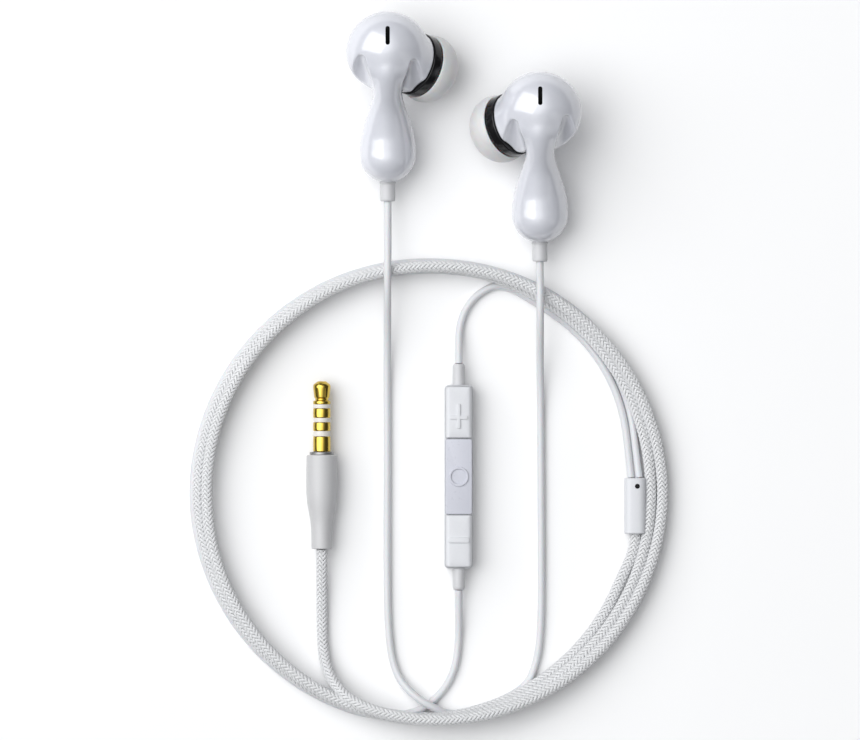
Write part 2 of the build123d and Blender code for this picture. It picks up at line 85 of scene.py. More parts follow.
# Each material's colour and roughness, the scale and bump of its noise, the two colours and the two
# roughnesses that the noise mixes, and other sockets of the shader, with _ for each space
LOOKS = {
    "pearl_white": dict(
        colour=(0.675, 0.687, 0.745), roughness=0.2, scale=900.0,
        colours=((0.665, 0.677, 0.74), (0.695, 0.707, 0.76)), spread=(0.17, 0.24),
        Coat_Weight=1.0, Coat_Roughness=0.11, Coat_IOR=1.9,
    ),
    "grey_white": dict(
        colour=(0.56, 0.57, 0.635), roughness=0.34, scale=1500.0, bump=0.15,
        colours=((0.55, 0.56, 0.63), (0.575, 0.585, 0.65)), spread=(0.26, 0.36),
        Coat_Weight=0.2, Coat_Roughness=0.25,
    ),
    "satin_white": dict(
        colour=(0.589, 0.589, 0.607), roughness=0.42, scale=2500.0, bump=0.25,
        colours=((0.57, 0.575, 0.593), (0.607, 0.607, 0.621)), spread=(0.36, 0.48),
    ),
    "satin_case": dict(
        colour=(0.67, 0.68, 0.71), roughness=0.34, scale=2500.0, bump=0.2,
        colours=((0.655, 0.665, 0.70), (0.69, 0.70, 0.725)), spread=(0.3, 0.4),
        Coat_Weight=0.25, Coat_Roughness=0.25,
    ),
    "boot_white": dict(
        colour=(0.568, 0.568, 0.576), roughness=0.4, scale=1800.0, bump=0.25,
        colours=((0.55, 0.55, 0.559), (0.585, 0.585, 0.593)), spread=(0.35, 0.46),
        Coat_Weight=0.15, Coat_Roughness=0.3,
    ),
    "plug_grey": dict(
        colour=(0.30, 0.30, 0.30), roughness=0.35, scale=2400.0, bump=0.2,
        colours=((0.26, 0.26, 0.26), (0.34, 0.34, 0.34)), spread=(0.28, 0.42),
        Metallic=0.8,
    ),
    "lead": dict(
        colour=(0.66, 0.67, 0.69), roughness=0.36, scale=1800.0, bump=0.15,
        colours=((0.64, 0.65, 0.675), (0.68, 0.69, 0.71)), spread=(0.3, 0.42),
        Subsurface_Weight=0.15, Subsurface_Scale=0.4 * MM,
    ),
    "silicone": dict(
        colour=(0.67, 0.67, 0.679), roughness=0.38, scale=1400.0, bump=0.2,
        colours=((0.651, 0.651, 0.66), (0.688, 0.688, 0.693)), spread=(0.33, 0.45),
        Subsurface_Weight=0.35, Subsurface_Scale=1.2 * MM, Sheen_Weight=0.15, Sheen_Roughness=0.5,
    ),
    "black_gloss": dict(
        colour=(0.006, 0.006, 0.007), roughness=0.12, scale=1200.0,
        colours=((0.004, 0.004, 0.005), (0.01, 0.01, 0.011)), spread=(0.1, 0.22),
        Specular_IOR_Level=0.3, Coat_Weight=0.15, Coat_Roughness=0.05,
    ),
    "black_mesh": dict(
        colour=(0.004, 0.004, 0.004), roughness=0.75, scale=3000.0, bump=0.6,
        colours=((0.002, 0.002, 0.002), (0.008, 0.008, 0.008)), spread=(0.6, 0.85),
        Specular_IOR_Level=0.08,
    ),
    "black_ink": dict(
        colour=(0.006, 0.006, 0.007), roughness=0.5, scale=2000.0, bump=0.2,
        colours=((0.004, 0.004, 0.005), (0.01, 0.01, 0.011)), spread=(0.42, 0.6),
        Specular_IOR_Level=0.15,
    ),
    "gold": dict(
        colour=(0.64, 0.45, 0.08), roughness=0.1, scale=2200.0, bump=0.05,
        colours=((0.60, 0.42, 0.07), (0.68, 0.49, 0.10)), spread=(0.05, 0.1),
        Metallic=1.0,
    ),
    "insulator": dict(
        colour=(0.78, 0.75, 0.70), roughness=0.35, scale=2600.0, bump=0.15,
        colours=((0.74, 0.71, 0.66), (0.81, 0.78, 0.73)), spread=(0.3, 0.42),
    ),
    "steel": dict(
        colour=(0.58, 0.58, 0.60), roughness=0.3, scale=4000.0, bump=0.2,
        colours=((0.52, 0.52, 0.54), (0.64, 0.64, 0.66)), spread=(0.24, 0.4),
        Metallic=1.0,
    ),
    "copper": dict(
        colour=(0.72, 0.38, 0.22), roughness=0.3, scale=5000.0, bump=0.3,
        colours=((0.66, 0.33, 0.18), (0.78, 0.44, 0.27)), spread=(0.24, 0.38),
        Metallic=1.0,
    ),
    "film": dict(
        colour=(0.55, 0.50, 0.42), roughness=0.35, scale=2500.0, bump=0.3,
        colours=((0.5, 0.46, 0.38), (0.6, 0.55, 0.46)), spread=(0.28, 0.42),
    ),
    "board": dict(
        colour=(0.03, 0.20, 0.09), roughness=0.3, scale=1600.0, bump=0.2,
        colours=((0.02, 0.16, 0.07), (0.04, 0.24, 0.11)), spread=(0.22, 0.4),
        Coat_Weight=0.4,
    ),
    # the braid core's dark grey is painted shade: it shows through the gaps between the yarns as the shadow
    # there
    "braid_core_gap_shade": dict(
        colour=(0.24, 0.25, 0.27), roughness=0.8, scale=4000.0, bump=0.4,
        colours=((0.20, 0.21, 0.23), (0.29, 0.30, 0.32)), spread=(0.7, 0.9),
    ),
    "floor": dict(
        colour=(0.93, 0.93, 0.935), roughness=0.6, scale=30.0,
        colours=((0.925, 0.925, 0.93), (0.94, 0.94, 0.945)), spread=(0.55, 0.65),
    ),
}


NOISE_DETAIL = 4.0
NOISE_SPAN = (0.3, 0.7)        # a noise mostly stays between these
BUMP_DEPTH = 0.02 * MM
YARN_BUMP_DEPTH = 0.03 * MM


def new_material(name, colour, roughness, **sockets):
    material = bpy.data.materials.new(name)
    material.use_nodes = True
    shader = material.node_tree.nodes["Principled BSDF"]
    shader.inputs["Base Color"].default_value = (*colour, 1.0)
    shader.inputs["Roughness"].default_value = roughness
    for socket, value in sockets.items():
        shader.inputs[socket.replace("_", " ")].default_value = value
    return material


def mix_colours(material, noise, first, second):
    """Mix the material's base colour from two, by a noise. 6, 7 and 2 are the mix's colour sockets."""
    nodes, links = material.node_tree.nodes, material.node_tree.links
    mix = nodes.new("ShaderNodeMix")
    mix.data_type = "RGBA"
    mix.inputs[6].default_value = (*first, 1.0)
    mix.inputs[7].default_value = (*second, 1.0)
    links.new(noise.outputs["Fac"], mix.inputs[0])
    links.new(mix.outputs[2], nodes["Principled BSDF"].inputs["Base Color"])


def add_bump(material, noise, strength, depth):
    nodes, links = material.node_tree.nodes, material.node_tree.links
    relief = nodes.new("ShaderNodeBump")
    relief.inputs["Strength"].default_value = strength
    relief.inputs["Distance"].default_value = depth
    links.new(noise.outputs["Fac"], relief.inputs["Height"])
    links.new(relief.outputs["Normal"], nodes["Principled BSDF"].inputs["Normal"])


def mottled_material(name, colour, roughness, scale, colours, spread, bump=0.0, **sockets):
    """A material whose colour and roughness a noise varies a little, and its bump too, in object space."""
    material = new_material(name, colour, roughness, **sockets)
    nodes, links = material.node_tree.nodes, material.node_tree.links
    place = nodes.new("ShaderNodeTexCoord")
    noise = nodes.new("ShaderNodeTexNoise")
    noise.inputs["Scale"].default_value = scale
    noise.inputs["Detail"].default_value = NOISE_DETAIL
    links.new(place.outputs["Object"], noise.inputs["Vector"])
    mix_colours(material, noise, *colours)
    stretch = nodes.new("ShaderNodeMapRange")
    stretch.inputs["From Min"].default_value = NOISE_SPAN[0]
    stretch.inputs["From Max"].default_value = NOISE_SPAN[1]
    stretch.inputs["To Min"].default_value = spread[0]
    stretch.inputs["To Max"].default_value = spread[1]
    links.new(noise.outputs["Fac"], stretch.inputs["Value"])
    links.new(stretch.outputs["Result"], nodes["Principled BSDF"].inputs["Roughness"])
    if bump:
        add_bump(material, noise, bump, BUMP_DEPTH)
    return material


def yarn_material():
    """Bright, slightly shiny yarn: fine filaments run along each ribbon, by its own u and v."""
    material = new_material("braid", (0.78, 0.79, 0.81), 0.5, Sheen_Weight=0.3, Sheen_Roughness=0.4)
    nodes, links = material.node_tree.nodes, material.node_tree.links
    across = nodes.new("ShaderNodeUVMap")
    across.uv_map = "yarn"
    stretch = nodes.new("ShaderNodeMapping")
    stretch.inputs["Scale"].default_value = (9.0, 0.9, 1.0)
    noise = nodes.new("ShaderNodeTexNoise")
    noise.inputs["Scale"].default_value = 1.0
    noise.inputs["Detail"].default_value = 3.0
    links.new(across.outputs["UV"], stretch.inputs["Vector"])
    links.new(stretch.outputs["Vector"], noise.inputs["Vector"])
    mix_colours(material, noise, (0.58, 0.585, 0.60), (0.86, 0.865, 0.875))
    add_bump(material, noise, 0.35, YARN_BUMP_DEPTH)
    return material


def make_materials():
    """Every material by name. A slot of the record has the material of the same name."""
    made = {name: mottled_material(name, **look) for name, look in LOOKS.items()}
    made["braid"] = yarn_material()
    return made


# ---------------- mesh helpers

WELD = 1e-7
TURNED_EDGE = 38.0     # degrees between two faces, from which an edge of a turned piece stays sharp
BLOCK_EDGE = 30.0
SHELL_EDGE = 40.0


def finish_piece(piece, material, body, nodes=()):
    """Give a new piece its material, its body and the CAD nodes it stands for."""
    if not piece.data.materials:
        piece.data.materials.append(MATERIALS[material])
    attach(piece, body)
    if nodes:
        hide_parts(*nodes)


def mesh_object(name, points, faces, smooth=True):
    """points in metres; faces as an array of quads or a list of polygons."""
    mesh = bpy.data.meshes.new(name)
    if isinstance(faces, np.ndarray):
        sides = faces.shape[1]
        mesh.vertices.add(len(points))
        mesh.vertices.foreach_set("co", np.asarray(points, np.float32).ravel())
        mesh.loops.add(faces.size)
        mesh.loops.foreach_set("vertex_index", faces.astype(np.int32).ravel())
        mesh.polygons.add(len(faces))
        mesh.polygons.foreach_set("loop_start", np.arange(0, faces.size, sides, dtype=np.int32))
        mesh.update(calc_edges=True)
    else:
        mesh.from_pydata([tuple(p) for p in points], [], faces)
        mesh.update()
    mesh.validate()
    mesh.polygons.foreach_set("use_smooth", [smooth] * len(mesh.polygons))
    piece = bpy.data.objects.new(name, mesh)
    bpy.context.collection.objects.link(piece)
    return piece


def tube_faces(rows, columns, start=0):
    """Quads round a tube whose points are numbered row by row."""
    row = np.arange(rows - 1)[:, None]
    column = np.arange(columns)[None, :]
    after = (column + 1) % columns
    here, ahead = row * columns, (row + 1) * columns
    quads = np.stack([here + column, here + after, ahead + after, ahead + column], axis=-1)
    return quads.reshape(-1, 4) + start


def select_only(pieces):
    """Select these objects alone, the first one active, as bpy.ops needs."""
    for each in bpy.context.selected_objects:
        each.select_set(False)
    for piece in pieces:
        piece.select_set(True)
    bpy.context.view_layer.objects.active = pieces[0]


def sharpen(piece, degrees):
    """Keep a real edge where two faces meet at more than this angle."""
    select_only([piece])
    bpy.ops.object.shade_smooth_by_angle(angle=math.radians(degrees))
    return piece


def outward(piece):
    """Turn all faces to point out of the closed mesh."""
    shape = bmesh.new()
    shape.from_mesh(piece.data)
    bmesh.ops.remove_doubles(shape, verts=shape.verts, dist=WELD)
    bmesh.ops.recalc_face_normals(shape, faces=shape.faces)
    shape.to_mesh(piece.data)
    shape.free()
    return piece


def apply_modifiers(piece):
    select_only([piece])
    for modifier in list(piece.modifiers):
        bpy.ops.object.modifier_apply(modifier=modifier.name)


def axes_for(direction):
    """Two unit vectors square to a direction."""
    along = Vector(direction).normalized()
    helper = Vector((0, 0, 1)) if abs(along.z) < 0.9 else Vector((1, 0, 0))
    side = along.cross(helper).normalized()
    return along, side, along.cross(side)


def lathe(name, origin, direction, outline, segments=72, closed=False):
    """Turn an outline of (radius, distance), in millimetres, about an axis. origin is in millimetres too."""
    along, side, up = axes_for(direction)
    start = Vector(origin)
    points, faces, rings = [], [], []
    for radius, distance in outline:
        centre = start + along * distance
        if radius <= 0:
            rings.append([len(points)])
            points.append(centre * MM)
            continue
        ring = []
        for i in range(segments):
            angle = 2 * math.pi * i / segments
            ring.append(len(points))
            points.append((centre + (side * math.cos(angle) + up * math.sin(angle)) * radius) * MM)
        rings.append(ring)
    pairs = list(zip(rings, rings[1:]))
    if closed:
        pairs.append((rings[-1], rings[0]))
    for first, second in pairs:
        for i in range(segments):
            j = (i + 1) % segments
            if len(first) == 1 and len(second) > 1:
                faces.append([first[0], second[j], second[i]])
            elif len(second) == 1 and len(first) > 1:
                faces.append([first[i], first[j], second[0]])
            elif len(first) > 1 and len(second) > 1:
                faces.append([first[i], first[j], second[j], second[i]])
    piece = mesh_object(name, points, faces)
    return sharpen(outward(piece), TURNED_EDGE)


def rounded(outline, radius, steps=4):
    """Round every inner corner of an outline, by up to radius."""
    result = [outline[0]]
    for before, here, after in zip(outline, outline[1:], outline[2:]):
        a, b, c = (np.array(p, float) for p in (before, here, after))
        back, ahead = a - b, c - b
        reach = min(radius, 0.45 * np.linalg.norm(back), 0.45 * np.linalg.norm(ahead))
        start = b + back / np.linalg.norm(back) * reach
        stop = b + ahead / np.linalg.norm(ahead) * reach
        for t in np.linspace(0, 1, steps + 1):
            spot = (1 - t) ** 2 * start + 2 * t * (1 - t) * b + t * t * stop
            result.append(tuple(spot))
    result.append(outline[-1])
    return result


def flowing(points, steps=6):
    """A smooth line through a few points of an outline."""
    spots = [np.array(p, float) for p in points]
    spots = [2 * spots[0] - spots[1]] + spots + [2 * spots[-1] - spots[-2]]
    result = []
    for a, b, c, d in zip(spots, spots[1:], spots[2:], spots[3:]):
        for t in np.linspace(0, 1, steps, endpoint=False):
            spot = 0.5 * (2 * b + (c - a) * t + (2 * a - 5 * b + 4 * c - d) * t**2)
            spot = spot + 0.5 * (3 * b - a - 3 * c + d) * t**3
            result.append(tuple(spot))
    result.append(tuple(spots[-2]))
    return result


# ---------------- cords

LEAD_DIAMETER = 0.0015
RING_CENTRE = (-0.0070, -0.0705)

LEFT_LEAD = [
    (-0.01505, -0.01275, 0.0044),
    (-0.01505, -0.01680, 0.0048),
    (-0.01505, -0.02260, 0.0068),
    (-0.01510, -0.03040, 0.0070),
    (-0.01510, -0.03860, 0.0030),
    (-0.01520, -0.04750, 0.0008),
    (-0.01510, -0.06200, 0.00075),
    (-0.01520, -0.08400, 0.00075),
    (-0.01500, -0.09850, 0.00075),
    (-0.01360, -0.10620, 0.00085),
    (-0.01020, -0.11040, 0.00250),
    (-0.00600, -0.11300, 0.00260),
    (-0.00200, -0.11460, 0.00080),
]

RIGHT_LEAD = [
    (0.01505, -0.02465, 0.0044),
    (0.01505, -0.02660, 0.0050),
    (0.01510, -0.02950, 0.0069),
    (0.01510, -0.03640, 0.0071),
    (0.01510, -0.04540, 0.0026),
    (0.01520, -0.05350, 0.0008),
    (0.01530, -0.06800, 0.00075),
    (0.01540, -0.08600, 0.00075),
    (0.01530, -0.09700, 0.00075),
    (0.01460, -0.10360, 0.00075),
    (0.01220, -0.10940, 0.00075),
]

REMOTE_UPPER_LEAD = [
    (-0.00100, -0.04485, 0.0026),
    (-0.00100, -0.04160, 0.0020),
    (-0.00090, -0.03760, 0.0008),
    (0.00040, -0.03380, 0.00075),
    (0.00300, -0.03080, 0.00075),
    (0.00740, -0.02880, 0.00075),
]

REMOTE_LOWER_LEAD = [
    (-0.00100, -0.08960, 0.0026),
    (-0.00100, -0.09350, 0.0019),
    (-0.00100, -0.09940, 0.0008),
    (-0.00160, -0.10500, 0.00075),
    (-0.00400, -0.10970, 0.00075),
    (-0.00900, -0.11420, 0.00075),
]

PLUG_LEAD = [
    (-0.02810, -0.08150, 0.00315),
    (-0.02810, -0.08650, 0.00230),
    (-0.02810, -0.09400, 0.00120),
    (-0.02800, -0.10160, 0.00120),
    (-0.02640, -0.10760, 0.00330),
    (-0.02160, -0.11240, 0.00640),
]

SPLITTER_TOP = (0.0339, -0.06745, 0.0023)
SPLITTER_BOTTOM = (0.0339, -0.0785, 0.0023)
LEAD_SPACING = 0.0008

# Where each cord runs in the ring: degrees clockwise from +X, then in millimetres
# the distance from the ring's centre and the height
BRAID_TURNS = [
    (22, 41.8, 2.0), (60, 43.5, 1.9), (90, 44.9, 2.65), (180, 45.9, 2.65), (270, 45.1, 2.65),
    (330, 44.6, 2.65), (360, 44.2, 2.65), (400, 44.5, 3.4), (450, 45.1, 4.95), (540, 44.0, 4.5),
    (630, 45.1, 4.95), (685, 46.3, 3.9), (720, 46.6, 2.65), (765, 46.2, 4.3), (790, 45.6, 6.9),
    (815, 44.9, 7.2),
]
LEFT_TURNS = [
    (105, 45.7, 0.75), (180, 46.9, 0.75), (270, 45.95, 0.75), (300, 46.5, 0.75), (312, 46.7, 0.75),
    (325, 46.1, 0.75), (340, 45.5, 0.75), (360, 45.4, 0.75), (430, 45.5, 0.75),
]
RIGHT_TURNS = [
    (78, 44.2, 0.75), (110, 44.3, 0.75), (180, 45.3, 0.75), (270, 44.4, 0.75), (300, 44.9, 0.75),
    (312, 45.1, 0.75), (325, 44.5, 0.75), (340, 43.2, 0.75), (349, 41.9, 1.5),
]
UPPER_TURNS = [
    (349, 40.4, 1.5), (340, 41.65, 0.75), (325, 42.95, 0.75), (312, 43.55, 0.75), (300, 43.4, 0.75),
]


def ring_points(stations, step=12.0):
    """The points of a cord's turns, one each few degrees, from its stations round the ring."""
    angle, radius, height = (np.array(column, float) for column in zip(*stations))
    count = max(2, round(abs(angle[-1] - angle[0]) / step) + 1)
    along = np.linspace(0, 1, count)
    turned = np.interp(along, (angle - angle[0]) / (angle[-1] - angle[0]), angle)
    order = np.argsort(angle)
    points = []
    for degrees in turned:
        reach = np.interp(degrees, angle[order], radius[order]) * MM
        lift = np.interp(degrees, angle[order], height[order]) * MM
        x = RING_CENTRE[0] + reach * math.cos(math.radians(degrees))
        y = RING_CENTRE[1] - reach * math.sin(math.radians(degrees))
        points.append((x, y, lift))
    return points


def spline_curve(name, points, resolution=10):
    """One smooth NURBS spline with these control points."""
    data = bpy.data.curves.new(name, "CURVE")
    data.dimensions = "3D"
    data.resolution_u = resolution
    spline = data.splines.new("NURBS")
    spline.points.add(len(points) - 1)
    for spot, point in zip(spline.points, points):
        spot.co = (*point, 1.0)
    spline.order_u = 3
    spline.use_endpoint_u = True
    piece = bpy.data.objects.new(name, data)
    bpy.context.collection.objects.link(piece)
    return piece


def spline_points(curve):
    """The curve's own line, as points."""
    bpy.context.view_layer.update()
    mesh = bpy.data.meshes.new_from_object(curve)
    points = np.array([v.co for v in mesh.vertices])
    bpy.data.meshes.remove(mesh)
    return points


def make_lead(name, points, nodes):
    """A thin jacketed lead as a round curve."""
    lead = spline_curve(name, points)
    lead.data.bevel_depth = LEAD_DIAMETER / 2
    lead.data.bevel_resolution = 6
    lead.data.use_fill_caps = True
    finish_piece(lead, "lead", ROOT, nodes)


def resample(points, spacing):
    """Evenly spaced points along a line, and the distance of each from its start."""
    steps = np.linalg.norm(np.diff(points, axis=0), axis=1)
    distance = np.concatenate([[0.0], np.cumsum(steps)])
    count = int(distance[-1] / spacing) + 1
    wanted = np.linspace(0, distance[-1], count)
    return np.stack([np.interp(wanted, distance, points[:, i]) for i in range(3)], axis=1), wanted


def path_frames(points):
    """At each point, the unit vectors to the side of the line and away from the table."""
    along = np.gradient(points, axis=0)
    along /= np.linalg.norm(along, axis=1, keepdims=True)
    side = np.cross(along, (0.0, 0.0, 1.0))
    side /= np.linalg.norm(side, axis=1, keepdims=True)
    return side, np.cross(side, along)


CARRIERS = 8                   # yarns each way round
BRAID_PITCH = 7.2 * MM         # a yarn goes once round in this length
YARN_MIDDLE = 1.0 * MM         # the yarns' mean distance from the cable's centre
YARN_SWING = 0.07 * MM         # further out where it passes over, further in where under
YARN_HALF_WIDTH = 0.29 * MM
YARN_CROWN = 0.07 * MM
CORE_RADIUS = 0.9 * MM
CORE_SIDES = 20
BRAID_STEP = 0.3 * MM
CORE_EVERY = 3                 # the core takes each third rib of the yarns


def core_tube(points, side, up):
    """The points of a plain tube under the yarns."""
    angle = np.linspace(0, 2 * math.pi, CORE_SIDES, endpoint=False)
    across, above = np.cos(angle)[None, :, None], np.sin(angle)[None, :, None]
    wheel = side[:, None, :] * across + up[:, None, :] * above
    return (points[:, None, :] + wheel * CORE_RADIUS).reshape(-1, 3)


def yarn_ribbon(points, side, up, travelled, carrier, way):
    """One yarn's points, four across its crowned width, passing over two others and under two."""
    crossing = 2 * CARRIERS * travelled / BRAID_PITCH
    phase = crossing + 2 * carrier if way == 1 else 2 * carrier - crossing
    over = way * np.clip(1.5 * np.cos(math.pi * (phase - 0.5) / 2), -1, 1)
    turned = 2 * math.pi * (way * travelled / BRAID_PITCH + carrier / CARRIERS)
    radius = YARN_MIDDLE + YARN_SWING * over
    tilt = math.cos(math.atan(2 * math.pi * YARN_MIDDLE / BRAID_PITCH))
    edge = YARN_HALF_WIDTH / tilt / YARN_MIDDLE
    corners = []
    for shift, lift in ((-edge, 0.0), (-edge * 0.45, YARN_CROWN), (edge * 0.45, YARN_CROWN), (edge, 0.0)):
        spoke = side * np.cos(turned + shift)[:, None] + up * np.sin(turned + shift)[:, None]
        corners.append(points + spoke * (radius + lift)[:, None])
    return np.stack(corners, axis=1).reshape(-1, 3)


def yarn_map(travelled, offset):
    """The u and v of a ribbon's face corners: across it, and along it in millimetres."""
    ribs = len(travelled) - 1
    row = np.repeat(np.arange(ribs), 4)
    column = np.tile(np.arange(4), ribs)
    u = np.stack([column, column + 1, column + 1, column], axis=1) / 3.0
    v = np.stack([travelled[row], travelled[row], travelled[row + 1], travelled[row + 1]], axis=1) / MM
    return np.stack([u + offset, v], axis=-1).reshape(-1, 2)


def braided_cable(name, line):
    """A core wrapped in sixteen flat yarns, eight each way round. The core's dark grey is painted shade,
    seen in the gaps between the yarns.
    """
    ribs, travelled = resample(line, BRAID_STEP)
    side, up = path_frames(ribs)
    core = core_tube(ribs[::CORE_EVERY], side[::CORE_EVERY], up[::CORE_EVERY])
    points = [core]
    faces = [tube_faces(len(core) // CORE_SIDES, CORE_SIDES)]
    core_faces = len(faces[0])
    corner_map = [np.zeros((core_faces * 4, 2))]
    count = len(core)
    for way in (1, -1):
        for carrier in range(CARRIERS):
            points.append(yarn_ribbon(ribs, side, up, travelled, carrier, way))
            faces.append(tube_faces(len(ribs), 4, count))
            corner_map.append(yarn_map(travelled, carrier * 7 + way))
            count += len(ribs) * 4
    quads = np.concatenate(faces)
    piece = mesh_object(name, np.concatenate(points), quads)
    layer = piece.data.uv_layers.new(name="yarn")
    layer.data.foreach_set("uv", np.concatenate(corner_map).astype(np.float32).ravel())
    piece.data.materials.append(MATERIALS["braid"])
    # the core's dark material is painted shade for the gaps between the yarns
    piece.data.materials.append(MATERIALS["braid_core_gap_shade"])
    slots = np.zeros(len(quads), np.int32)
    slots[:core_faces] = 1
    piece.data.polygons.foreach_set("material_index", slots)
    return piece


def make_cords():
    """The three leads and the braided cable. Returns the line that the braid follows."""
    top_left = (SPLITTER_TOP[0] - LEAD_SPACING, SPLITTER_TOP[1], SPLITTER_TOP[2])
    top_right = (SPLITTER_TOP[0] + LEAD_SPACING, SPLITTER_TOP[1], SPLITTER_TOP[2])
    left = LEFT_LEAD + ring_points(LEFT_TURNS)[::-1] + REMOTE_LOWER_LEAD[::-1]
    right = RIGHT_LEAD + ring_points(RIGHT_TURNS) + [top_right]
    upper = REMOTE_UPPER_LEAD + ring_points(UPPER_TURNS)[::-1] + [top_left]
    below = (SPLITTER_BOTTOM[0], SPLITTER_BOTTOM[1] - 0.003, SPLITTER_BOTTOM[2])
    cable = [SPLITTER_BOTTOM, below] + ring_points(BRAID_TURNS) + PLUG_LEAD[::-1]

    make_lead("left_bud_lead", left, ["left_lead", "remote_lower_lead"])
    make_lead("right_bud_lead", right, ["right_lead"])
    make_lead("splitter_to_remote_lead", upper, ["remote_upper_lead"])
    guide = spline_curve("braid_guide", cable)
    line = spline_points(guide)
    bpy.data.objects.remove(guide)
    finish_piece(braided_cable("braided_cable", line), "braid", ROOT, ["cable_coil", "plug_lead"])
    return [tuple(point) for point in line]


# ---------------- earbuds

# All in millimetres, for the left bud. The right one is its mirror image, moved by BUD_SHIFT along Y.
BUD_X = -15.05
BUD_SHIFT = -11.9
HEAD = np.array((BUD_X, 16.75, 13.0))
HEAD_RADII = np.array((8.2, 7.9, 6.2))
NOZZLE_FROM = np.array((BUD_X, 16.45, 13.0))
NOZZLE = np.array((0.74, -0.28, -0.61)) / np.linalg.norm((0.74, -0.28, -0.61))
RING_START, RING_END, RING_RADIUS = 6.95, 8.95, 6.35
RING_SEAT = 0.8                # from this far before the ring, the head is no wider than it
NECK = ((2.6, 5.75), (RING_END + 3.0, 6.55))   # distance along the nozzle and radius, at each end
NECK_BLEND = 1.6
POCKET_BLEND = 0.5
RIM_BLEND = 0.6
STEM_BLEND = (0.4, 2.6)        # at the stem, and what the strap over the head adds to it
STRAP_START, STRAP_LENGTH = 13.4, 4.5
TABLE_GAP = 0.02
NET_BOX = ((-25.0, -10.0, -0.5), (-4.5, 26.0, 21.0))
NET_CELL = 0.27
SEAM_POINT = (BUD_X, -2.4, 5.47)
SEAM_NORMAL = np.array((0.0, -7.53, 18.85)) / np.linalg.norm((0.0, -7.53, 18.85))
SEAM_HALF = 0.03
SHELL_WALL = 0.7
VENT = (BUD_X, 19.9)
VENT_SIZE = (0.86, 3.7)
GRILLE_SIZE = (0.9, 3.74)
GRILLE_HEIGHTS = (17.3, 18.2)
COLLAR_START = (BUD_X, -8.85, 4.4)

# Hollows beside the stem, each from its small upper end to its wide lower end
POCKETS = [
    ((BUD_X - 5.0, 15.3, 17.2), (BUD_X - 6.3, 8.0, 14.9)),
    ((BUD_X + 5.1, 14.3, 17.0), (BUD_X + 5.9, 7.4, 14.6)),
]
POCKET_RADII = (1.0, 3.7)

# The stem's middle line and its radius: y, z, radius
STEM = [
    (18.0, 14.2, 4.9),
    (15.6, 14.55, 4.7),
    (13.6, 15.2, 3.8),
    (11.9, 15.0, 3.15),
    (9.6, 13.7, 2.84),
    (7.4, 11.8, 3.0),
    (5.2, 9.9, 3.55),
    (1.4, 7.15, 4.8),
    (-1.5, 5.95, 5.46),
    (-3.45, 5.62, 5.58),
]
STEM_LINE = flowing(STEM, 4)


def smooth_union(a, b, width):
    blend = np.clip(0.5 + 0.5 * (b - a) / width, 0, 1)
    return b * (1 - blend) + a * blend - width * blend * (1 - blend)


def smooth_cut(a, b, width):
    """a without b."""
    return -smooth_union(-a, b, width)


def ellipsoid(points, centre, radii):
    scaled = (points - centre) / radii
    reach = np.linalg.norm(scaled, axis=-1)
    slope = np.linalg.norm(scaled / radii, axis=-1)
    return reach * (reach - 1.0) / np.maximum(slope, 1e-6)


def round_cone(points, start, stop, first, last):
    """Distance to two balls and the skin stretched between them."""
    start, stop = np.array(start, float), np.array(stop, float)
    axis = stop - start
    length = np.linalg.norm(axis)
    axis = axis / length
    offset = points - start
    along = offset @ axis
    aside = np.sqrt(np.maximum((offset**2).sum(-1) - along**2, 0))
    lean = (first - last) / length
    square = math.sqrt(max(1 - lean * lean, 1e-6))
    place = along - aside * lean / square
    inside = aside * square + along * lean - first
    from_start = np.sqrt(along**2 + aside**2) - first
    from_stop = np.sqrt((along - length) ** 2 + aside**2) - last
    return np.where(place < 0, from_start, np.where(place > length, from_stop, inside))


def bud_distance(points):
    """Signed distance from the left bud's outer surface, in millimetres."""
    head = ellipsoid(points, HEAD, HEAD_RADII)
    (start, first), (stop, last) = NECK
    neck = round_cone(points, NOZZLE_FROM + NOZZLE * start, NOZZLE_FROM + NOZZLE * stop, first, last)
    head = smooth_union(head, neck, NECK_BLEND)
    for upper, lower in POCKETS:
        pocket = round_cone(points, upper, lower, POCKET_RADII[0], POCKET_RADII[1])
        head = smooth_cut(head, pocket, POCKET_BLEND)
    along = (points - NOZZLE_FROM) @ NOZZLE
    wide = np.linalg.norm((points - NOZZLE_FROM) - along[..., None] * NOZZLE, axis=-1)
    head = np.where(along > RING_START - RING_SEAT, np.maximum(head, wide - RING_RADIUS), head)
    head = smooth_cut(head, RING_START - along, RIM_BLEND)
    stem = None
    for (y0, z0, r0), (y1, z1, r1) in zip(STEM_LINE, STEM_LINE[1:]):
        link = round_cone(points, (BUD_X, y0, z0), (BUD_X, y1, z1), r0, r1)
        stem = link if stem is None else np.minimum(stem, link)
    near_top = np.clip((points[..., 1] - STRAP_START) / STRAP_LENGTH, 0, 1)
    body = smooth_union(head, stem, STEM_BLEND[0] + STEM_BLEND[1] * near_top**2 * (3 - 2 * near_top))
    return np.maximum(body, TABLE_GAP - points[..., 2])


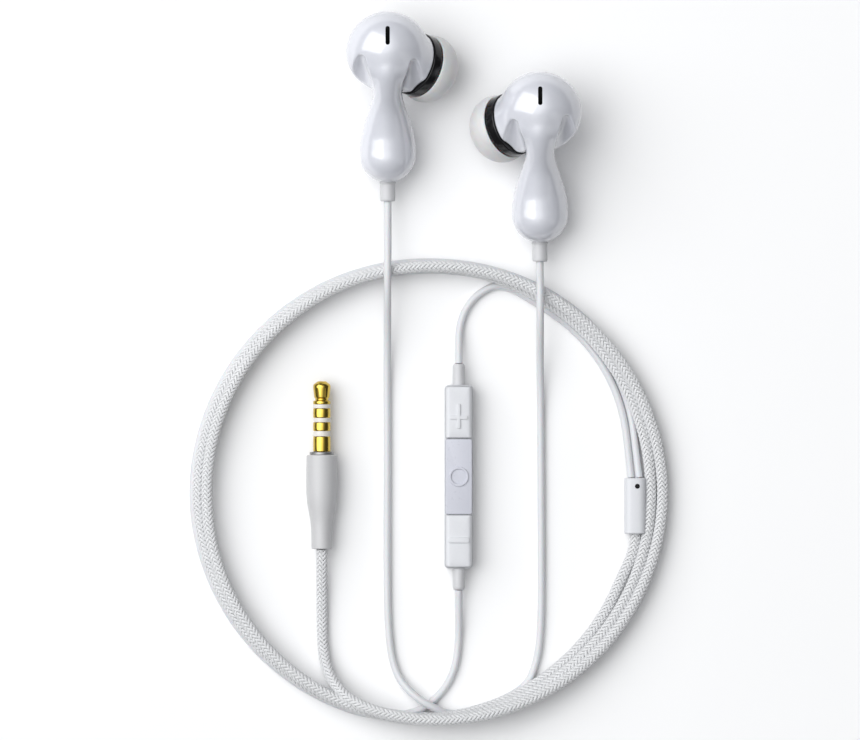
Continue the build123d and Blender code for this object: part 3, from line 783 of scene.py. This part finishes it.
def surface_net(distance, low, high, cell):
    """A quad mesh over the zero surface of a distance function: a point in each grid cell that the
    surface crosses, a quad round each grid edge that it crosses, and then each point moved onto it."""
    axes = [np.arange(a, b + cell, cell) for a, b in zip(low, high)]
    grid = np.stack(np.meshgrid(*axes, indexing="ij"), axis=-1)
    value = distance(grid)
    inside = value < 0
    shape = np.array(value.shape) - 1
    crossing_sum = np.zeros((*shape, 3))
    crossing_count = np.zeros(shape)
    corner = [(i, j, k) for i in (0, 1) for j in (0, 1) for k in (0, 1)]

    def block(array, offset):
        i, j, k = offset
        return array[i:i + shape[0], j:j + shape[1], k:k + shape[2]]

    for a in corner:
        for axis in range(3):
            if a[axis]:
                continue
            b = tuple(1 if n == axis else a[n] for n in range(3))
            va, vb = block(value, a), block(value, b)
            cut = (va < 0) != (vb < 0)
            share = np.where(cut, va / np.where(cut, va - vb, 1.0), 0.0)
            spot = block(grid, a) + (block(grid, b) - block(grid, a)) * share[..., None]
            crossing_sum += np.where(cut[..., None], spot, 0.0)
            crossing_count += cut
    used = crossing_count > 0
    number = np.full(shape, -1)
    number[used] = np.arange(int(used.sum()))
    points = crossing_sum[used] / crossing_count[used][:, None]
    quads = []
    for axis in range(3):
        u, v = (axis + 1) % 3, (axis + 2) % 3
        first = [slice(1, n) for n in shape]
        first[axis] = slice(0, shape[axis])
        second = list(first)
        second[axis] = slice(1, shape[axis] + 1)
        a, b = inside[tuple(first)], inside[tuple(second)]
        where = np.argwhere(a != b)
        start = np.array([s.start for s in first])
        spot = where + start
        step_u, step_v = np.eye(3, dtype=int)[u], np.eye(3, dtype=int)[v]
        around = [spot - step_u - step_v, spot - step_v, spot, spot - step_u]
        quad = np.stack([number[tuple(p.T)] for p in around], axis=1)
        out = a[tuple(where.T)]
        quad[~out] = quad[~out][:, ::-1]
        quads.append(quad)
    nudge = 0.01
    for _ in range(3):
        here = distance(points)
        slope = np.stack([
            (distance(points + axis * nudge) - distance(points - axis * nudge)) / (2 * nudge)
            for axis in np.eye(3)
        ], axis=1)
        points = points - slope * np.clip(here / np.maximum((slope**2).sum(1), 0.3), -0.1, 0.1)[:, None]
    return points, np.concatenate(quads)


def half_shell(name, points, quads, plane_point, plane_normal, wall):
    """The part of a closed surface on one side of a plane, given a wall."""
    piece = mesh_object(name, points * MM, quads)
    shape = bmesh.new()
    shape.from_mesh(piece.data)
    bmesh.ops.bisect_plane(
        shape, geom=shape.verts[:] + shape.edges[:] + shape.faces[:], dist=1e-8,
        plane_co=Vector(plane_point) * MM, plane_no=Vector(plane_normal), clear_inner=True,
    )
    shape.to_mesh(piece.data)
    shape.free()
    solid = piece.modifiers.new("wall", "SOLIDIFY")
    solid.thickness = wall * MM
    solid.offset = -1.0
    solid.use_even_offset = False
    apply_modifiers(piece)
    return piece


def stadium(name, middle, width, length, low, high, sides=12):
    """An upright prism with round ends, long in Y; millimetres."""
    outline = []
    straight = length / 2 - width / 2
    for end in (1, -1):
        for i in range(sides + 1):
            angle = math.pi * i / sides + (0 if end == 1 else math.pi)
            x = middle[0] + width / 2 * math.cos(angle)
            y = middle[1] + end * straight + width / 2 * math.sin(angle)
            outline.append((x, y))
    count = len(outline)
    points = [(x * MM, y * MM, z * MM) for z in (low, high) for x, y in outline]
    faces = [list(range(count))[::-1], list(range(count, 2 * count)), *tube_faces(2, count).tolist()]
    return outward(mesh_object(name, points, faces, smooth=False))


def cut_away(piece, cutter):
    """Take the cutter's shape out of the piece, and the cutter out of the scene."""
    difference = piece.modifiers.new("cut", "BOOLEAN")
    difference.operation = "DIFFERENCE"
    difference.solver = "EXACT"
    difference.object = cutter
    apply_modifiers(piece)
    bpy.data.objects.remove(cutter)


def mirrored(piece, name):
    """The right bud's copy of a left piece."""
    mesh = piece.data.copy()
    for vertex in mesh.vertices:
        vertex.co.x = -vertex.co.x
        vertex.co.y += BUD_SHIFT * MM
    mesh.flip_normals()
    copy = bpy.data.objects.new(name, mesh)
    mesh.name = name
    bpy.context.collection.objects.link(copy)
    return copy


# Outlines of turned pieces: radius, and distance along the axis
TIP_OUTSIDE = [(3.3, 15.2), (4.4, 14.75), (5.6, 13.7), (6.4, 12.4), (6.74, 11.0), (6.68, 9.9), (6.45, 9.25)]
TIP_RIM = [(6.3, 9.16), (6.12, 9.25)]
TIP_INSIDE = [(6.1, 9.9), (6.1, 10.9), (5.75, 12.0), (5.05, 12.9), (4.1, 13.7), (3.4, 13.7)]
TIP_SLEEVE = [
    (3.26, 13.4), (3.26, 9.5), (3.16, 9.28), (2.95, 9.2), (2.62, 9.2),
    (2.46, 9.35), (2.46, 14.8), (2.62, 15.08), (2.95, 15.22),
]
BAND = [(5.2, 6.97), (6.2, 6.97), (6.3, 7.1), (6.3, 8.75), (6.12, 8.97), (2.6, 8.97), (2.5, 8.6), (5.2, 8.6)]
STRAIN_COLLAR = [(0.8, 0.0), (1.62, 0.0), (1.62, 0.35), (1.5, 0.5), (1.5, 3.55), (1.36, 3.88), (0.8, 3.9)]


def tip_outline():
    """The ear tip in section: radius, and distance along the nozzle."""
    return flowing(TIP_OUTSIDE, 6) + TIP_RIM + flowing(TIP_INSIDE, 5) + TIP_SLEEVE


def nozzle_lathe(name, outline, segments=96):
    return lathe(name, NOZZLE_FROM, NOZZLE, outline, segments, closed=True)


def make_shells():
    """The left bud's front and rear shells, parted at the seam, with the vent cut through the front."""
    points, quads = surface_net(bud_distance, *NET_BOX, NET_CELL)
    middle = np.array(SEAM_POINT)
    seam = SEAM_NORMAL * SEAM_HALF
    front = half_shell("left_front_case", points, quads, middle + seam, SEAM_NORMAL, SHELL_WALL)
    rear = half_shell("left_rear_case", points, quads, middle - seam, -SEAM_NORMAL, SHELL_WALL)
    cut_away(front, stadium("slot_cutter", VENT, *VENT_SIZE, 15.0, 25.0))
    sharpen(front, SHELL_EDGE)
    sharpen(rear, SHELL_EDGE)
    return front, rear


def make_buds():
    front, rear = make_shells()
    grille = stadium("left_vent_grille", VENT, *GRILLE_SIZE, *GRILLE_HEIGHTS)
    trim = nozzle_lathe("left_band", rounded(BAND, 0.12))
    tip = nozzle_lathe("left_tip_rubber", tip_outline(), 112)
    collar_outline = rounded(STRAIN_COLLAR, 0.12)
    collar = lathe("left_strain_collar", COLLAR_START, (0, -1, 0), collar_outline, 56, closed=True)
    table = [
        (front, "front_case", "pearl_white", "front_shell"),
        (rear, "rear_case", "pearl_white", "rear_shell"),
        (grille, "vent_grille", "black_mesh", "vent_mesh"),
        (trim, "band", "black_gloss", "trim_ring"),
        (tip, "tip_rubber", "silicone", "ear_tip"),
        (collar, "strain_collar", "satin_white", "cord_collar"),
    ]
    for piece, ending, material, node in table:
        other = mirrored(piece, "right_" + ending)
        if piece in (front, rear):
            sharpen(other, SHELL_EDGE)
        for side, each in (("left", piece), ("right", other)):
            body = f"{side}_tip" if piece is tip else ROOT
            finish_piece(each, material, body, [f"{side}_{node}"])


# ---------------- remote, splitter and plug

def rounded_outline(x0, x1, y0, y1, corners, steps=6):
    """A rectangle's outline with a radius at each corner: low-left, low-right, high-right, high-left."""
    places = [(x0, y0, 1, 1, 180), (x1, y0, -1, 1, 270), (x1, y1, -1, -1, 0), (x0, y1, 1, -1, 90)]
    outline = []
    for (x, y, sx, sy, start), radius in zip(places, corners):
        for i in range(steps + 1):
            angle = math.radians(start + 90 * i / steps)
            across, along = radius * math.cos(angle), radius * math.sin(angle)
            outline.append((x + sx * radius + across, y + sy * radius + along))
    return np.array(outline)


def pillow(name, box, corners, low, high, low_edge, high_edge, crown=0.0, steps=5, end=1.0):
    """A block over box (x0, x1, y0, y1), its edges rounded, and its top slightly domed if it has a crown.
    With end under 1 the edges at the two ends of Y are rounded less."""
    x0, x1, y0, y1 = box
    layers = []
    for i in range(steps + 1):
        angle = math.pi / 2 * i / steps
        layers.append((low_edge * (1 - math.sin(angle)), low + low_edge * (1 - math.cos(angle))))
    for i in range(steps + 1):
        angle = math.pi / 2 * i / steps
        layers.append((high_edge * (1 - math.cos(angle)), high - crown - high_edge * (1 - math.sin(angle))))
    points = []
    for amount, z in layers:
        radii = [max(c - amount, 0.04) for c in corners]
        ring = rounded_outline(x0 + amount, x1 - amount, y0 + amount * end, y1 - amount * end, radii)
        points.extend((x * MM, y * MM, z * MM) for x, y in ring)
    count = len(ring)
    middle = np.array(((x0 + x1) / 2, (y0 + y1) / 2))
    rows = len(layers)
    if crown:
        for share in (0.25, 0.5, 0.75, 0.95):
            shrunk = middle + (ring - middle) * (1 - share)
            points.extend((x * MM, y * MM, (high - crown * (1 - share) ** 2) * MM) for x, y in shrunk)
            rows += 1
    top = (rows - 1) * count
    faces = [list(range(count))[::-1], *tube_faces(rows, count).tolist(), list(range(top, top + count))]
    return sharpen(outward(mesh_object(name, points, faces)), BLOCK_EDGE)


def joined(name, pieces):
    """Several meshes as one object."""
    select_only(pieces)
    bpy.ops.object.join()
    pieces[0].name = name
    pieces[0].data.name = name
    return pieces[0]


REMOTE_X = -1.0
REMOTE_ENDS = (-85.4, -49.05)
REMOTE_HALF = 2.84
REMOTE_AXIS = 2.6
REMOTE_SEAM = (2.58, 2.62)     # the rear case's top and the front case's underside
REMOTE_TOP = 4.55
REMOTE_HOLLOW = (REMOTE_X - 2.0, REMOTE_X + 2.0, -84.6, -49.85)
REMOTE_CORNER = 0.85
KEYS = {                       # each key's lower and upper end along Y, and its top
    "plus": (-59.6, -49.3, 5.2),
    "centre": (-74.6, -59.75, 4.8),
    "minus": (-85.15, -74.75, 5.2),
}
KEY_HALF = 2.67
KEY_BASE = 3.1
KEY_GAP = 0.05
KEY_SOFT, KEY_CRISP = 0.8, 0.4
KEY_CORNERS = {                # the lower two, then the upper two
    "plus": [KEY_CRISP] * 2 + [KEY_SOFT] * 2,
    "centre": [KEY_CRISP] * 4,
    "minus": [KEY_SOFT] * 2 + [KEY_CRISP] * 2,
}
PLUNGER = [(0, 0), (0.6, 0), (0.6, 0.4), (0, 0.4)]
PLUNGER_LOW = 2.92
MARK_SINK = 0.05
RING_MARK_Y = -67.2
RING_MARK = [(1.46, -0.2), (1.46, 0.16), (1.56, 0.26), (1.88, 0.26), (1.98, 0.16), (1.98, -0.2)]
REMOTE_SLEEVE = [(0.76, -0.3), (1.2, -0.3), (1.2, 0.1), (1.26, 0.5), (1.2, 3.7), (1.02, 4.18), (0.76, 4.2)]


def key_block(key, name, grow, low_z, high_z, edge, crown=0.0):
    """A key's block, or with grow the hole it sits in."""
    low, high, _ = KEYS[key]
    corners = [corner + grow for corner in KEY_CORNERS[key]]
    box = (REMOTE_X - KEY_HALF - grow, REMOTE_X + KEY_HALF + grow, low - grow, high + grow)
    return pillow(name, box, corners, low_z, high_z, 0.0, edge, crown, end=0.35)


def bar(name, x0, x1, y0, y1, top):
    """A low raised mark with soft edges."""
    radius = min(x1 - x0, y1 - y0) / 2 - 0.02
    edge = min(0.09, radius * 0.7)
    return pillow(name, (x0, x1, y0, y1), [radius * 0.8] * 4, top - 0.3, top + 0.3, 0.0, edge, steps=3)


def key_mark(name):
    """The sign on a key: a plus, a ring or a minus."""
    top = KEYS[name][2]
    if name == "plus":
        upright = bar("upright", REMOTE_X - 0.36, REMOTE_X + 0.36, -57.7, -52.8, top - MARK_SINK)
        level = bar("level", REMOTE_X - 1.8, REMOTE_X + 1.8, -55.86, -55.14, top - MARK_SINK - 0.005)
        return [upright, level]
    if name == "minus":
        return [bar("level", REMOTE_X - 2.1, REMOTE_X + 2.1, -80.3, -79.25, top - MARK_SINK)]
    place = (REMOTE_X, RING_MARK_Y, top)
    return [lathe("ring", place, (0, 0, 1), rounded(RING_MARK, 0.05), 72, closed=True)]


def make_remote_shells():
    box = (REMOTE_X - REMOTE_HALF, REMOTE_X + REMOTE_HALF, *REMOTE_ENDS)
    front = pillow("remote_front_case", box, [REMOTE_CORNER] * 4, REMOTE_SEAM[1], REMOTE_TOP, 0.0, 0.7)
    rear = pillow("remote_rear_case", box, [REMOTE_CORNER] * 4, 0.0, REMOTE_SEAM[0], 1.0, 0.04)
    for key in KEYS:
        cut_away(front, key_block(key, "hole", KEY_GAP, low_z=2.0, high_z=6.0, edge=0.0))
    cut_away(rear, pillow("hollow", REMOTE_HOLLOW, [0.3] * 4, 0.8, 4.0, 0.0, 0.0))
    for piece, node in ((front, "remote_front_shell"), (rear, "remote_rear_shell")):
        sharpen(piece, BLOCK_EDGE)
        finish_piece(piece, "satin_case", ROOT, [node])


def make_key(key, material, edge, crown):
    """A key with its mark on top and its plunger below."""
    low, high, top = KEYS[key]
    cap = key_block(key, f"cap_{key}", 0.0, KEY_BASE, top, edge, crown)
    foot = (REMOTE_X, (low + high) / 2, PLUNGER_LOW)
    plunger = lathe("plunger", foot, (0, 0, 1), rounded(PLUNGER, 0.08), 32)
    piece = joined(f"remote_{key}_key", [cap, plunger, *key_mark(key)])
    finish_piece(piece, material, f"{key}_key", [f"remote_{key}_button"])


def make_remote():
    make_remote_shells()
    make_key("plus", "satin_case", edge=0.8, crown=0.06)
    make_key("centre", "grey_white", edge=0.22, crown=0.0)
    make_key("minus", "satin_case", edge=0.8, crown=0.06)
    sleeve = rounded(REMOTE_SLEEVE, 0.15)
    for name, y, way in (("upper", REMOTE_ENDS[1], 1), ("lower", REMOTE_ENDS[0], -1)):
        place = (REMOTE_X, y, REMOTE_AXIS)
        collar = lathe(f"remote_{name}_sleeve", place, (0, way, 0), sleeve, 48, closed=True)
        finish_piece(collar, "satin_white", ROOT, [f"remote_{name}_collar"])


SPLITTER_X = 33.9
SPLITTER_HALF = 2.2
SPLITTER_MIDDLE = 2.3
SPLITTER_SEAM = 0.025
SQUARENESS = 0.62              # 1 would make the section an ellipse
DOT_PLACE = (34.35, -69.1)
DENT_LOW, DOT_LOW = 4.3, 4.28
DENT_OUTLINE = [(0, 0), (0.5, 0), (0.5, 1), (0, 1)]
DOT_OUTLINE = [(0, 0), (0.47, 0), (0.47, 0.2), (0.3, 0.26), (0, 0.27)]
# Along Y, and how far the section draws in there
SPLITTER_ROWS = [
    (-78.5, 0.22), (-78.44, 0.08), (-78.3, 0.0), (-73.0, 0.0), (-67.65, 0.0), (-67.51, 0.08), (-67.45, 0.22),
]


def splitter_half(name, way):
    """Half of the splitter's case: a rounded section drawn along Y, its ends crisp. way is 1 above the
    seam and -1 below it."""
    section = []
    for i in range(25):
        angle = math.pi * i / 24
        x = math.copysign(abs(math.cos(angle)) ** SQUARENESS, math.cos(angle)) * SPLITTER_HALF
        rise = (SPLITTER_MIDDLE - SPLITTER_SEAM) * math.sin(angle) ** SQUARENESS
        section.append((SPLITTER_X + x, SPLITTER_MIDDLE + way * (SPLITTER_SEAM + rise)))
    points = []
    for y, amount in SPLITTER_ROWS:
        shrink = 1 - amount / SPLITTER_HALF
        for x, z in section:
            drawn_x = SPLITTER_X + (x - SPLITTER_X) * shrink
            drawn_z = SPLITTER_MIDDLE + (z - SPLITTER_MIDDLE) * shrink
            points.append((drawn_x * MM, y * MM, drawn_z * MM))
    count = len(section)
    faces = [list(range(count)), [len(points) - 1 - i for i in range(count)]]
    faces += tube_faces(len(SPLITTER_ROWS), count).tolist()
    return sharpen(outward(mesh_object(name, points, faces)), BLOCK_EDGE)


def make_splitter():
    front = splitter_half("splitter_front_case", 1)
    rear = splitter_half("splitter_rear_case", -1)
    dent = lathe("dent", (*DOT_PLACE, DENT_LOW), (0, 0, 1), DENT_OUTLINE, 40)
    cut_away(front, dent)
    sharpen(front, BLOCK_EDGE)
    finish_piece(front, "satin_case", ROOT, ["splitter_front_shell"])
    finish_piece(rear, "satin_case", ROOT, ["splitter_rear_shell"])
    dot = lathe("splitter_mark", (*DOT_PLACE, DOT_LOW), (0, 0, 1), rounded(DOT_OUTLINE, 0.06), 40)
    finish_piece(dot, "black_ink", ROOT, ["splitter_dot"])


# The plug's outlines: radius, and distance back from its end
PLUG_END = (-28.1, -48.3, 3.15)
PLUG_SIDES = 96
PLUG_POINT = [
    (0, 0), (0.8, 0.02), (1.6, 0.6), (1.75, 0.95), (1.75, 1.3), (1.5, 3.25), (1.3, 3.5),
    (1.3, 3.75), (1.66, 3.92), (1.73, 4.12), (1.73, 4.45), (1.66, 4.6), (0, 4.6),
]
PLUG_CONTACTS = [
    ("plug_contact_one", 5.36, 7.28, "plug_first_ring"),
    ("plug_contact_two", 8.12, 9.88, "plug_second_ring"),
    ("plug_contact_long", 10.92, 13.98, "plug_sleeve"),
]
PLUG_BANDS = [(4.62, 5.34), (7.3, 8.1), (9.9, 10.9)]
PLUG_WASHER = [(0, 14.0), (2.28, 14.0), (2.4, 14.1), (2.4, 14.56), (0, 14.56)]
GRIP_START = [(0, 14.58), (2.86, 14.58), (3.05, 14.8), (3.05, 15.1)]
GRIP_SIDE = [
    (3.05, 15.1), (3.08, 18.0), (3.08, 21.4), (2.98, 23.2), (2.76, 24.9),
    (2.46, 26.5), (2.24, 28.0), (2.12, 29.6), (2.06, 31.4),
]
GRIP_END = [(2.06, 31.4), (2.03, 33.1), (1.95, 33.2), (1.25, 33.2), (1.2, 32.6), (1.2, 31.0), (0, 31.0)]


def plug_lathe(name, outline):
    return lathe(name, PLUG_END, (0, -1, 0), outline, PLUG_SIDES)


def contact_outline(start, stop):
    """A barrel, a little fuller in its middle."""
    middle = (start + stop) / 2
    return [
        (0, start), (1.64, start), (1.73, start + 0.14), (1.75, middle),
        (1.73, stop - 0.14), (1.64, stop), (0, stop),
    ]


def band_outline(start, stop):
    return [(0, start), (1.69, start), (1.71, start + 0.08), (1.71, stop - 0.08), (1.69, stop), (0, stop)]


def make_plug():
    finish_piece(plug_lathe("plug_point", rounded(PLUG_POINT, 0.12)), "gold", ROOT, ["plug_tip"])
    for name, start, stop, node in PLUG_CONTACTS:
        contact = plug_lathe(name, rounded(contact_outline(start, stop), 0.05))
        finish_piece(contact, "gold", ROOT, [node])
    bands = [plug_lathe("band", band_outline(start, stop)) for start, stop in PLUG_BANDS]
    finish_piece(joined("plug_bands", bands), "insulator", ROOT, ["plug_insulator"])
    washer = plug_lathe("plug_washer", rounded(PLUG_WASHER, 0.06))
    finish_piece(washer, "plug_grey", ROOT, ["plug_flange"])
    outline = rounded(GRIP_START, 0.1) + flowing(GRIP_SIDE, 6)[1:] + rounded(GRIP_END, 0.08)[1:]
    finish_piece(plug_lathe("plug_grip", outline), "boot_white", ROOT, ["plug_boot"])


# ---------------- light and floor

FLOOR_REACH = 3
FLOOR_DROP = 0.00002
SKY_TILT = (-0.30, 0.14, 0.944)        # the sky is brightest this way
SKY_STOPS = [(0.0, 0.03), (0.55, 0.06), (0.78, 0.3), (0.93, 0.9), (1.0, 1.0)]
SKY_STRENGTH = 2.1
LAMPS = [                              # name, place, width, height, watts
    ("key", (-0.62, 0.22, 0.74), 1.1, 1.1, 6.4),
    ("fill", (0.7, -0.4, 0.5), 0.25, 0.6, 0.15),
]
LAMP_TARGET = Vector((-0.007, -0.046, 0.0))


def make_floor():
    reach = FLOOR_REACH
    corners = [(-reach, -reach, 0), (reach, -reach, 0), (reach, reach, 0), (-reach, reach, 0)]
    floor = mesh_object("floor", corners, [[0, 1, 2, 3]], smooth=False)
    floor.location.z = -FLOOR_DROP
    floor.data.materials.append(MATERIALS["floor"])


def make_sky():
    """A dome of light that fades from its brightest direction to near black on all sides."""
    world = bpy.data.worlds.new("world")
    bpy.context.scene.world = world
    world.use_nodes = True
    nodes, links = world.node_tree.nodes, world.node_tree.links
    sky = nodes["Background"]
    place = nodes.new("ShaderNodeTexCoord")
    tilt = nodes.new("ShaderNodeVectorMath")
    tilt.operation = "DOT_PRODUCT"
    tilt.inputs[1].default_value = SKY_TILT
    ramp = nodes.new("ShaderNodeValToRGB")
    while len(ramp.color_ramp.elements) < len(SKY_STOPS):
        ramp.color_ramp.elements.new(0.5)
    for element, (position, level) in zip(ramp.color_ramp.elements, SKY_STOPS):
        element.position = position
        element.color = (level * 0.98, level * 0.99, level, 1.0)
    links.new(place.outputs["Generated"], tilt.inputs[0])
    links.new(tilt.outputs["Value"], ramp.inputs["Fac"])
    links.new(ramp.outputs["Color"], sky.inputs["Color"])
    sky.inputs["Strength"].default_value = SKY_STRENGTH


def make_lamps():
    for name, place, width, height, power in LAMPS:
        data = bpy.data.lights.new(name, "AREA")
        data.shape = "RECTANGLE"
        data.size = width
        data.size_y = height
        data.energy = power
        lamp = bpy.data.objects.new(name, data)
        bpy.context.collection.objects.link(lamp)
        lamp.location = place
        lamp.rotation_euler = (LAMP_TARGET - Vector(place)).to_track_quat("-Z", "Y").to_euler()


def make_studio():
    make_floor()
    make_sky()
    make_lamps()
    bpy.context.scene.view_settings.view_transform = "Standard"


def dress_cad_nodes():
    """Give every CAD node the material of its slot in the record."""
    slots = {part["node"]: part["material_slot"] for part in frame["record"]["subparts"]}
    for name, node in frame["nodes"].items():
        node.data.materials.clear()
        node.data.materials.append(MATERIALS[slots[name]])


make_camera()
MATERIALS = make_materials()
cable_line = make_cords()
make_buds()
make_remote()
make_splitter()
make_plug()
make_studio()
dress_cad_nodes()
